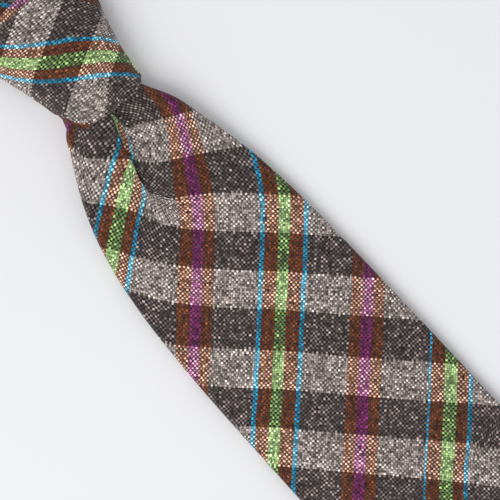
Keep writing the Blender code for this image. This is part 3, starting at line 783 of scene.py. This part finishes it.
def at_back(sides, back, down):
    """Puts (across, up) points on a cloth's back, from the middle of its slit."""
    middle = (sides[0] + sides[1]) / 2
    return lambda across, up: (middle + across, KNOT_LOW - down, back(down) + up)


def at_blade_back(down):
    return at_back(sides_of(BLADE)(down), BLADE[3], down)


def build_blade_threads():
    downs = rows_down(0.060, BLADE_FOLD_DOWN - 0.016, STITCH_EVERY)
    places = [at_blade_back(down) for down in downs]
    slip_stitches("blade_slip_stitches", places, "blade_slip_stitch", "front_blade")
    node = "blade_bar_tack"
    low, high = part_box(node)
    centre = at_blade_back(KNOT_LOW - (low.y + high.y) / 2)(0.0, -0.0003)
    bar_tack("blade_tack", centre, ALONG_X, ALONG_Y, high.x - low.x, bend_at_tip, node)
    for side in ("left", "right"):
        node = f"keeper_{side}_tack"
        low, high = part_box(node)
        centre, length = (*middle_of(node)[:2], low.z + 0.0001), high.y - low.y
        name = f"keeper_{side}_stitching"
        bar_tack(name, centre, ALONG_Y, ALONG_X, length, "front_blade", node)


def label_height(down, x):
    """Height of the label's middle, which waves a little under the blade's back."""
    return back_height(down, x) - 0.0005 - 0.0002 * np.sin(x * 700 + down * 300)


def build_label():
    """A blank label, sewn down along its short ends."""
    low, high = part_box("care_label")
    downs = rows_down(KNOT_LOW - high.y, KNOT_LOW - low.y, 0.0012)
    label = flat_layer(
        "care_label_tape", downs, lambda down: (low.x, high.x), label_height, 0.00035, TAPE, 15,
    )
    stands_for(label, bend_at_tip, "care_label")
    paths = []
    for down in (downs[0] + 0.0015, downs[-1] - 0.0015):
        for x in np.arange(low.x + 0.0015, high.x - 0.002, 0.0026):
            ends = ((x, 0.0), (x + 0.0003, -0.0002), (x + 0.0013, -0.0002), (x + 0.0016, 0.0))
            paths.append([
                (p, KNOT_LOW - down, label_height(down, p) - 0.0002 + lift) for p, lift in ends
            ])
    stitches = tube("care_label_stitches", paths, FINE_THREAD)
    bend_at_tip(stitches)


# Half of the keeper's band, from its sewn end to its middle, in millimetres across and up.
KEEPER_SIDE = (
    (28.0, 2.85), (26.0, 3.10), (24.0, 3.30), (23.0, 3.35), (22.45, 3.05), (22.25, 2.3),
    (22.2, 1.4), (21.9, 0.8), (21.2, 0.5), (18.0, 0.42), (12.0, 0.42), (6.0, 0.42), (0.0, 0.42),
)


def build_keeper():
    """The loop that holds the tail: a folded band sewn under the blade by its turned-out ends."""
    low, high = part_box("keeper_loop")
    side = [(x * MM, z * MM) for x, z in KEEPER_SIDE]
    path = np.array([(-x, z) for x, z in side] + side[::-1][1:])
    run = np.concatenate([[0], np.cumsum(np.linalg.norm(np.diff(path, axis=0), axis=1))])
    ys, x = np.linspace(low.y, high.y, 12), middle_of("keeper_loop")[0] + path[:, 0]
    points = np.array([spots(x, y, path[:, 1]) for y in ys])
    uvs = np.array([threads_at(run, y) for y in ys])
    keeper = sheet("keeper_band", points, uvs, PLAID, CLOTH, 0.0)
    rounded = keeper.modifiers.new("rounded", "SUBSURF")
    rounded.levels = rounded.render_levels = 2
    stands_for(keeper, "front_blade", "keeper_loop")


# ---- tail

TAIL = outline("tail_shell", "tail_tip_shell")
TAIL_COLUMNS, TAIL_SPLIT_DOWN, TAIL_POINT_ROUND = 26, 0.250, 0.0013
TAIL_CLOTH_A, TAIL_CLOTH_T = 0.012, 0.031


def tail_ring(down):
    """Points and cloth coordinates round the tail at one distance down."""
    left, right, front, back, _ = (side(down) for side in TAIL)
    half, radius = (right - left) / 2, min((front - back) / 2, (right - left) * 0.4)
    x = np.linspace(left + radius, right - radius, TAIL_COLUMNS)
    middle = (front + back) / 2
    z = middle + radius - 0.0001 * ((x - x.mean()) / (half - radius)) ** 2
    opened = smooth((down - 0.282) / 0.028) * (half - 0.008)
    slit = max(SLIT_HALF, min(opened, half - 0.003))
    ring = folded_ring(left, right, middle - radius, middle, radius, slit, x, z, x + TAIL_CLOTH_A)
    return *ring, down + TAIL_CLOTH_T


def above_tail_back(lift):
    return lambda down, x: TAIL[3](down) + lift


def build_tail():
    near = rows_down(TAIL_TOP_DOWN, TAIL_SPLIT_DOWN, FAR_ROW)
    upper = sheet("tail_cloth", *grid_of(tail_ring, near), PLAID, THIN_CLOTH)
    stands_for(upper, "tail", "tail_shell")
    far = rows_down(TAIL_SPLIT_DOWN, TAIL_END_DOWN - TAIL_POINT_ROUND, 0.0015)
    rings = grid_of(tail_ring, far, TAIL_POINT_ROUND)
    lower = sheet("tail_point_cloth", *rings, PLAID, THIN_CLOTH)
    stands_for(lower, bend_at_tail_tip, "tail_tip_shell")


def build_tail_layers():
    """The felt and the satin inside the tail."""
    felt_down, felt_sides = KNOT_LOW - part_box("tail_interlining")[1].y, sides_of(TAIL, 0.003)
    stands_for(flat_layer(
        "tail_felt_upper", rows_down(felt_down, TAIL_SPLIT_DOWN, 0.01), felt_sides,
        above_tail_back(0.00135), THIN_CLOTH, FELT,
    ), "tail", "tail_interlining")
    stands_for(flat_layer(
        "tail_felt_lower", rows_down(TAIL_SPLIT_DOWN, 0.316, 0.003), felt_sides,
        above_tail_back(0.00145), THIN_CLOTH, FELT,
    ), bend_at_tail_tip, "tail_tip_interlining")
    stands_for(flat_layer(
        "tail_tipping_satin", rows_down(0.278, 0.3225, 0.002), sides_of(TAIL, 0.0018),
        above_tail_back(0.0008), SATIN_CLOTH, SATIN, 21,
    ), bend_at_tail_tip, "tail_tipping")


def build_tail_threads():
    downs = rows_down(TAIL_TOP_DOWN + 0.004, TAIL_FOLD_DOWN - 0.014, STITCH_EVERY)
    places = [at_back(sides_of(TAIL)(0.1), TAIL[3], down) for down in downs]
    slip_stitches("tail_slip_stitches", places, "tail_slip_stitch", "tail")
    node = "tail_bar_tack"
    low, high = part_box(node)
    centre = (*middle_of(node)[:2], high.z)
    bar_tack("tail_tack", centre, ALONG_X, ALONG_Y, high.x - low.x, bend_at_tail_tip, node)


def build_tail_strap():
    """The tie's narrow run from the knot into the tail's open top."""
    low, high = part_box("tail_strap")
    middle, _, height = middle_of("tail_strap")
    half = down_curve((-6, 7.5), (1.5, 8.0), (18, 11.5))
    strap = flat_layer(
        "tail_strap_cloth", rows_down(-0.005, KNOT_LOW - low.y, 0.003),
        lambda down: (middle - half(down), middle + half(down)), lambda down, x: height,
        high.z - low.z, PLAID,
    )
    stands_for(strap, bend_at_knot, "tail_strap")


# ---- knot

KNOT_HALF_LOW, KNOT_WIDENING, KNOT_BOXINESS = 0.0152, 1.5, 0.8
KNOT_RISE, KNOT_RISE_MORE, KNOT_BELLY = 0.0142, 0.0004, 0.0024
SPRING_Z = 0.005
RIGHT_LOW, RIGHT_HIGH = 0.93, 1.09
WRAP_COLUMNS, WRAP_ROWS = 72, 40
LIP_RADIUS = 0.0011

# Lower edges in millimetres, by the angle from the right side in degrees.
WRAP_LOW = curve(
    (0, -19.2), (25, -21.8), (45, -22.8), (75, -22.9), (92, -22.3), (105, -21.5), (122, -20.5),
    (134, -19.2), (143, -17.2), (152, -13.6), (163, -11.0), (180, -8.9),
)
TUCK_LOW = curve((105, -21.2), (122, -20.9), (140, -20.0), (160, -18.2), (180, -16.3))


def knot_half(y):
    along = np.clip((y - KNOT_LOW) / (KNOT_HIGH - KNOT_LOW), 0, None)
    return KNOT_HALF_LOW + (KNOT_HALF_HIGH - KNOT_HALF_LOW) * along ** KNOT_WIDENING


def arch(turn, y, inward=0.0, bulge=0.0):
    """A point of the knot's arched front, at an angle from its right side."""
    t = np.clip((y - KNOT_LOW) / (KNOT_HIGH - KNOT_LOW), 0, 1)
    half = knot_half(y) + bulge - inward
    rise = KNOT_RISE + KNOT_RISE_MORE * t + KNOT_BELLY * 4 * t * (1 - t) - inward
    if cos(turn) > 0:
        half = half * (RIGHT_LOW + (RIGHT_HIGH - RIGHT_LOW) * t)
    x = half * np.sign(cos(turn)) * abs(cos(turn)) ** KNOT_BOXINESS
    return spots(x, y, SPRING_Z + (rise - SPRING_Z) * abs(sin(turn)) ** KNOT_BOXINESS)


def lip_rows(low, high, rows, inside=0.006, radius=LIP_RADIUS):
    """Places along a cloth and depths below its front, from inside a rolled edge round to the
    front and on to high."""
    turn, hidden = np.linspace(pi, 0, 9), np.linspace(low + inside, low + radius, 4)[:-1]
    front = np.linspace(low + radius, high, rows)[1:]
    y = np.concatenate([hidden, low + radius * (1 - np.sin(turn)), front])
    depth = [np.full(3, 2 * radius), radius * (1 - np.cos(turn)), np.zeros(rows - 1)]
    return y, np.concatenate(depth)


def lipped(low, high, rows):
    """lip_rows from both edges of a cloth to y = 0 between them."""
    y, depth = lip_rows(low, 0.0, rows)
    other, other_depth = lip_rows(-high, 0.0, rows)
    return np.concatenate([y, -other[::-1][1:]]), np.concatenate([depth, other_depth[::-1][1:]])


def knot_threads(x, y, arc):
    """Cloth coordinates on the knot's front, in millimetres: the green stripe crosses it from
    upper left to lower right."""
    x, down, arc = x / MM, (KNOT_LOW - y) / MM, arc / MM
    from_axis = x - 0.35
    green = -20.2 + 0.66 * from_axis + 0.00076 * from_axis ** 3
    u = GREEN_AT - STRIPE_PERIOD + (down - green) * 0.86
    v = 65.45 + 0.433 * (arc + 7.2) + 0.902 * (down + 27.6)
    v = v + 3.6 * smooth((v - 79) / 14) * smooth((x + 3) / 10)
    return np.stack([u, v], axis=-1)


def arc_lengths(points):
    """Distance across each row from its middle, to the right."""
    steps = np.linalg.norm(np.diff(points, axis=1), axis=2)
    length = np.concatenate([np.zeros((len(points), 1)), np.cumsum(steps, axis=1)], axis=1)
    middle = np.array([np.interp(0.0, row[:, 0], run) for row, run in zip(points, length)])
    return length - middle[:, None]


def grid(columns):
    """Rows of points from columns, the top row first."""
    return np.array(columns).transpose(1, 0, 2)[::-1]


def knot_cloth(name, node, points, uvs, thickness=CLOTH):
    stands_for(sheet(name, points, uvs, PLAID, thickness), "knot", node)


def build_front_wrap():
    columns = []
    for turn in np.linspace(pi, 0, WRAP_COLUMNS):
        y, depth = lipped(WRAP_LOW(np.degrees(turn)) * MM, KNOT_HIGH, WRAP_ROWS // 2)
        columns.append(arch(turn, y, depth))
    points = grid(columns)
    uvs = knot_threads(points[..., 0], points[..., 1], arc_lengths(points))
    knot_cloth("knot_wrap_cloth", "knot_front_wrap", points, uvs)


def build_tuck():
    """The folded corner that shows beside the front wrap's lower left edge."""
    columns = []
    for turn in np.linspace(pi, radians(105), 26):
        y, depth = lip_rows(TUCK_LOW(np.degrees(turn)) * MM, KNOT_LOW + 0.016, 16, 0.003, 0.0007)
        bulge = 0.0032 * smooth((KNOT_LOW + 0.0115 - y) / 0.0095) * smooth((turn - 1.9) / 1.1)
        columns.append(arch(turn, y, depth + 0.0011, bulge))
    points = grid(columns)
    x, y = points[..., 0] / MM, points[..., 1] / MM
    beside = (x + 16.5) * 0.855 + (y + 9.0) * 0.52
    u = GREEN_AT + STRIPE_PERIOD / 2 + 2.0 * (beside + 2.9)
    v = 67.5 + x * 0.52 - y * 0.855
    knot_cloth("knot_tuck_cloth", "knot_side_tuck", points, np.stack([u, v], axis=-1))


def build_back_wrap():
    """The pass behind the knot: flat on the table and turned up inside the front wrap's sides."""
    top, corner, inset, short = 0.0065, 0.0028, 0.0004, 0.0006
    y, depth = lipped(KNOT_LOW + short, KNOT_HIGH - short, 16)
    half, radius = knot_half(y) - inset - depth, corner - depth
    columns = [spots(-half, y, height) for height in (top, (top + corner) / 2)]
    for angle in np.linspace(pi, pi / 2, 8):
        x = radius - half + radius * cos(angle)
        columns.append(spots(x, y, corner - radius * sin(angle)))
    columns += [spots((radius - half) * share, y, depth) for share in (0.66, 0.33)]
    middle = spots(0.0, y, depth)
    mirrored = [column * (-1, 1, 1) for column in columns[::-1]]
    points = grid([*columns, middle, *mirrored])[::-1]
    uvs = threads_at(arc_lengths(points), points[..., 1])
    knot_cloth("knot_back_cloth", "knot_back_wrap", points, uvs)


def build_inner_pass():
    """The layer that comes over the knot's top and down under the front wrap."""
    low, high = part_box("knot_inner_pass")
    y, depth = lip_rows(0.0, high.y - low.y, 26, 0.004, 0.0006)
    width = millimetre_curve((0, 7.8), (1.5, 9.2), (4, 9.8), (20, 8.5), (46.5, 5.8))
    share, y, depth = np.linspace(-1, 1, 21), y[:, None], depth[:, None]
    crown = 0.0003 * (1 - share ** 2) * smooth((y - 0.001) / 0.004)
    points = spots(width(y) * share, high.y - y, high.z - depth + crown)
    uvs = threads_at(points[..., 0] + 0.02, points[..., 1])
    knot_cloth("knot_inner_cloth", "knot_inner_pass", points, uvs, THIN_CLOTH)


def build_knot_felt():
    low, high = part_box("knot_interlining")
    height = middle_of("knot_interlining")[2]

    def sides(down):
        reach = knot_half(KNOT_LOW - down) - 0.0045
        return -reach, reach

    pad = flat_layer(
        "knot_felt", rows_down(KNOT_LOW - high.y, KNOT_LOW - low.y, 0.003), sides,
        lambda down, x: height, high.z - low.z - 0.0004, FELT,
    )
    stands_for(pad, "knot", "knot_interlining")


# ---- neck loop

STRAP_HALF, STRAP_DEPTH = (STRAP_HIGH.x - STRAP_LOW.x) / 2, (STRAP_HIGH.z - STRAP_LOW.z) / 2
NECK_HALF, NECK_DEPTH = 0.0165, 0.0016
NECK_SIDE_Y, NECK_LEAD, NECK_LIFT = 0.135, 0.042, 0.017
NECK_SIDE_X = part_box("neck_gusset_shell")[1].y - NECK_DEPTH - NECK_SIDE_Y
NECK_TWIST_END, NECK_WIDE_AT = 0.95, 0.55
NECK_SEAM = 2 - 42 / 90
NECK_CLOTH_A, SEAM_REACH, SEAM_PINCH, SEAM_THREAD = 0.01, 0.012, 0.8, 0.00012


def neck_path(along):
    """Centre of the neck band's right half, from its start (0) past its side (1) to the back (2),
    and the direction that it runs in."""
    start, side = np.array((STRAP_X, NECK_START_Y)), np.array((NECK_SIDE_X, NECK_SIDE_Y))
    lead = np.array((0, NECK_LEAD))
    if along <= 1:
        corners = np.array((start, start + lead, side - lead, side))
        while len(corners) > 2:
            corners = corners[:-1] + np.diff(corners, axis=0) * along
        run = corners[1] - corners[0]
        point = corners[0] + run * along
    else:
        a = (along - 1) * pi / 2
        point = side + NECK_SIDE_X * np.array((cos(a) - 1, sin(a)))
        run = np.array((-sin(a), cos(a)))
    return point, run / np.linalg.norm(run)


def neck_place(along, hand):
    """Puts (across, up) arrays on the band, which turns from lying flat to standing on edge.
    Below 0, along is a distance back into the knot."""
    if along < 0:
        return lambda x, z: spots(hand * (STRAP_X + x), NECK_START_Y + along, STRAP_Z + z)
    point, run = neck_path(along)
    turn = pi / 2 * smooth(along / NECK_TWIST_END)
    height = STRAP_Z + (NECK_LIFT - STRAP_Z) * sin(turn)

    def place(x, z):
        reach = x * cos(turn) + z * sin(turn)
        return spots(
            hand * (point[0] + run[1] * reach), point[1] - run[0] * reach,
            height - x * sin(turn) + z * cos(turn),
        )

    return place


def neck_size(along):
    """Half the band's width and half its thickness."""
    opened = smooth(along / NECK_WIDE_AT)
    half = STRAP_HALF + (NECK_HALF - STRAP_HALF) * opened
    return half, STRAP_DEPTH + (NECK_DEPTH - STRAP_DEPTH) * opened


def band_ring(along, pinch=1.0):
    half, radius = neck_size(along)
    radius = radius * pinch
    x = np.linspace(radius - half, half - radius, 20)
    z = radius - 0.0002 * (x / (half - radius)) ** 4
    return folded_ring(-half, half, -radius, 0.0, radius, SLIT_HALF, x, z, x)


def side_band(name, alongs, hand):
    """Cloth of one side of the neck band; it dips at its last place, where it is seamed."""
    rows, uvs, run = [], [], 0.0
    for along in alongs:
        x, z, a = band_ring(along, SEAM_PINCH if along == alongs[-1] else 1.0)
        rows.append(neck_place(along, 1)(x, z))
        if len(rows) > 1:
            run += np.linalg.norm(rows[-1].mean(axis=0) - rows[-2].mean(axis=0))
        uvs.append(threads_at(hand * (a + NECK_CLOTH_A), run + hand * NECK_CLOTH_A))
    points, uvs = np.array(rows) * (hand, 1, 1), np.array(uvs)
    return sheet(name, points[::-hand], uvs[::-hand], PLAID, CLOTH)


def gusset_band(alongs):
    """The middle piece of the band, from seam to seam round the back of the neck."""
    rows, uvs, end = [], [], alongs[-1] * NECK_SIDE_X * pi
    for along in alongs:
        x, z, a = band_ring(along, SEAM_PINCH if along == alongs[0] else 1.0)
        run = along * NECK_SIDE_X * pi / 2
        rows.append(neck_place(along, 1)(x, z))
        uvs.append((threads_at(a, run), threads_at(a, end - run)))
    points = rows + [row * (-1, 1, 1) for row in rows[-2::-1]]
    threads = [right for right, _ in uvs] + [left for _, left in uvs[-2::-1]]
    return sheet("neck_gusset_cloth", np.array(points[::-1]), np.array(threads[::-1]), PLAID, CLOTH)


def at_neck_back(along, hand):
    """Puts (across, up) points on the back of the neck band."""
    place, radius = neck_place(along, hand), neck_size(along)[1]
    return lambda across, up: tuple(place(across, up - radius))


def build_neck():
    inside = rows_down(STRAP_LOW.y - NECK_START_Y, -0.0015, 0.0015)
    for hand, side in ((-1, "left"), (1, "right")):
        alongs = np.concatenate([inside, rows_down(0.0, NECK_SEAM, 0.02)])
        cloth = side_band(f"neck_{side}_cloth", alongs, hand)
        stands_for(cloth, bend_at_collar, f"neck_{side}_shell", f"strap_{side}_shell")
        rows, uvs = [], []
        for along in np.concatenate([inside, rows_down(0.0, 1.99, 0.03)]):
            reach = neck_size(along)[0] - 0.003
            x = np.linspace(-reach, reach, 9)
            rows.append(neck_place(along, hand)(x, 0.0))
            uvs.append(threads_at(x, along))
        lining = sheet(f"neck_{side}_felt", np.array(rows), np.array(uvs), FELT, 0.0008, 0.0)
        nodes = f"neck_{side}_interlining", f"strap_{side}_interlining"
        stands_for(lining, bend_at_collar, *nodes)
        stitched = rows_down(NECK_WIDE_AT, NECK_SEAM - 0.02, 0.07)
        places = [at_neck_back(along, hand) for along in stitched]
        node = f"neck_{side}_slip_stitch"
        slip_stitches(f"{node}es", places, node, "neck_loop")
        build_neck_seam(hand, side)
    gusset = gusset_band(rows_down(NECK_SEAM, 2.0, 0.02))
    stands_for(gusset, "neck_loop", "neck_gusset_shell")


def build_neck_seam(hand, side):
    """Small stitches across the seam between a side piece and the gusset."""
    x, z, _ = band_ring(NECK_SEAM)
    places = [neck_place(NECK_SEAM + step * SEAM_REACH, hand) for step in (-1, 0, 1)]
    shown = range(BACK_COLUMNS, len(x) - BACK_COLUMNS, 2)
    paths = [[tuple(place(x[k], z[k])) for place in places] for k in shown]
    stitches = tube(f"neck_{side}_seam_stitches", paths, SEAM_THREAD)
    stands_for(stitches, "neck_loop", f"neck_{side}_seam")


# ---- camera, light and table

VIEW_ACROSS, VIEW_TARGET = (0.733, -0.680, 0), (0.0012, -0.0889, 0.0075)
VIEW_WIDTH, LENS, SENSOR = 0.1725, 135.0, 36.0
WINDOW_PLACE, WINDOW_TARGET = (-1.05, -0.25, 1.35), (0, -0.09, 0)
WINDOW_SIZE, WINDOW_POWER = 1.2, 14.5
ROOM_COLOUR, ROOM_STRENGTH = (0.97, 0.98, 1.0, 1), 0.62
TABLE_REACH = 6.0


def build_camera():
    """Straight down on the knot and the blade's top, with the tie lying across the picture."""
    across, out = Vector(VIEW_ACROSS).normalized(), Vector((0, 0, 1))
    data = bpy.data.cameras.new("camera")
    data.type, data.lens, data.sensor_width = "PERSP", LENS, SENSOR
    camera = link("camera", data)
    place = Vector(VIEW_TARGET) + out * (VIEW_WIDTH * LENS / SENSOR)
    turned = Matrix((across, out.cross(across), out)).transposed().to_4x4()
    camera.matrix_world = Matrix.Translation(place) @ turned
    bpy.context.scene.camera = camera


def keep_table_under(table):
    """Lowers the table where a fold takes the end of the neck loop or of the tail below it."""
    ends = {
        "neck": ("neck_loop", (0.0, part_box("neck_gusset_shell")[1].y, 0.0)),
        "tail": ("tail_tip", (0.0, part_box("tail_tip_shell")[0].y, 0.0)),
    }
    follow = table.driver_add("location", 2).driver
    follow.type = "SCRIPTED"
    for name, (body, place) in ends.items():
        marker = link(f"{name}_end", None)
        marker.location = place
        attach(marker, body)
        height = follow.variables.new()
        height.name, height.type = name, "TRANSFORMS"
        target = height.targets[0]
        target.id, target.transform_type, target.transform_space = marker, "LOC_Z", "WORLD_SPACE"
    follow.expression = "min(0, neck, tail)"


def build_stage():
    """A pale table and soft light from the left."""
    n = Nodes("pale_table")
    clouds = n.noise(n.add("ShaderNodeTexCoord", output=3), 6.0)
    colour = n.mix(clouds, (0.90, 0.90, 0.915), (0.92, 0.92, 0.935))
    n.finish(colour, 0.7, Specular_IOR_Level=0.2)
    data = bpy.data.meshes.new("table")
    corners = ((-1, -1), (1, -1), (1, 1), (-1, 1))
    data.from_pydata([(x * TABLE_REACH, y * TABLE_REACH, 0) for x, y in corners], [], [range(4)])
    data.materials.append(n.material)
    table = link("table", data)
    keep_table_under(table)
    world = bpy.data.worlds.new("room")
    world.use_nodes = True
    background = world.node_tree.nodes["Background"]
    background.inputs["Color"].default_value = ROOM_COLOUR
    background.inputs["Strength"].default_value = ROOM_STRENGTH
    bpy.context.scene.world = world
    light = bpy.data.lights.new("window", "AREA")
    light.size, light.energy = WINDOW_SIZE, WINDOW_POWER
    window = link("window", light)
    window.location, window.rotation_mode = WINDOW_PLACE, "QUATERNION"
    towards = Vector(WINDOW_TARGET) - Vector(WINDOW_PLACE)
    window.rotation_quaternion = towards.to_track_quat("-Z", "Y")
    bpy.context.scene.view_settings.view_transform = "Standard"


build_blade()
build_blade_layers()
build_blade_threads()
build_label()
build_keeper()
build_tail()
build_tail_layers()
build_tail_threads()
build_tail_strap()
build_front_wrap()
build_tuck()
build_back_wrap()
build_inner_pass()
build_knot_felt()
build_neck()
build_camera()
build_stage()
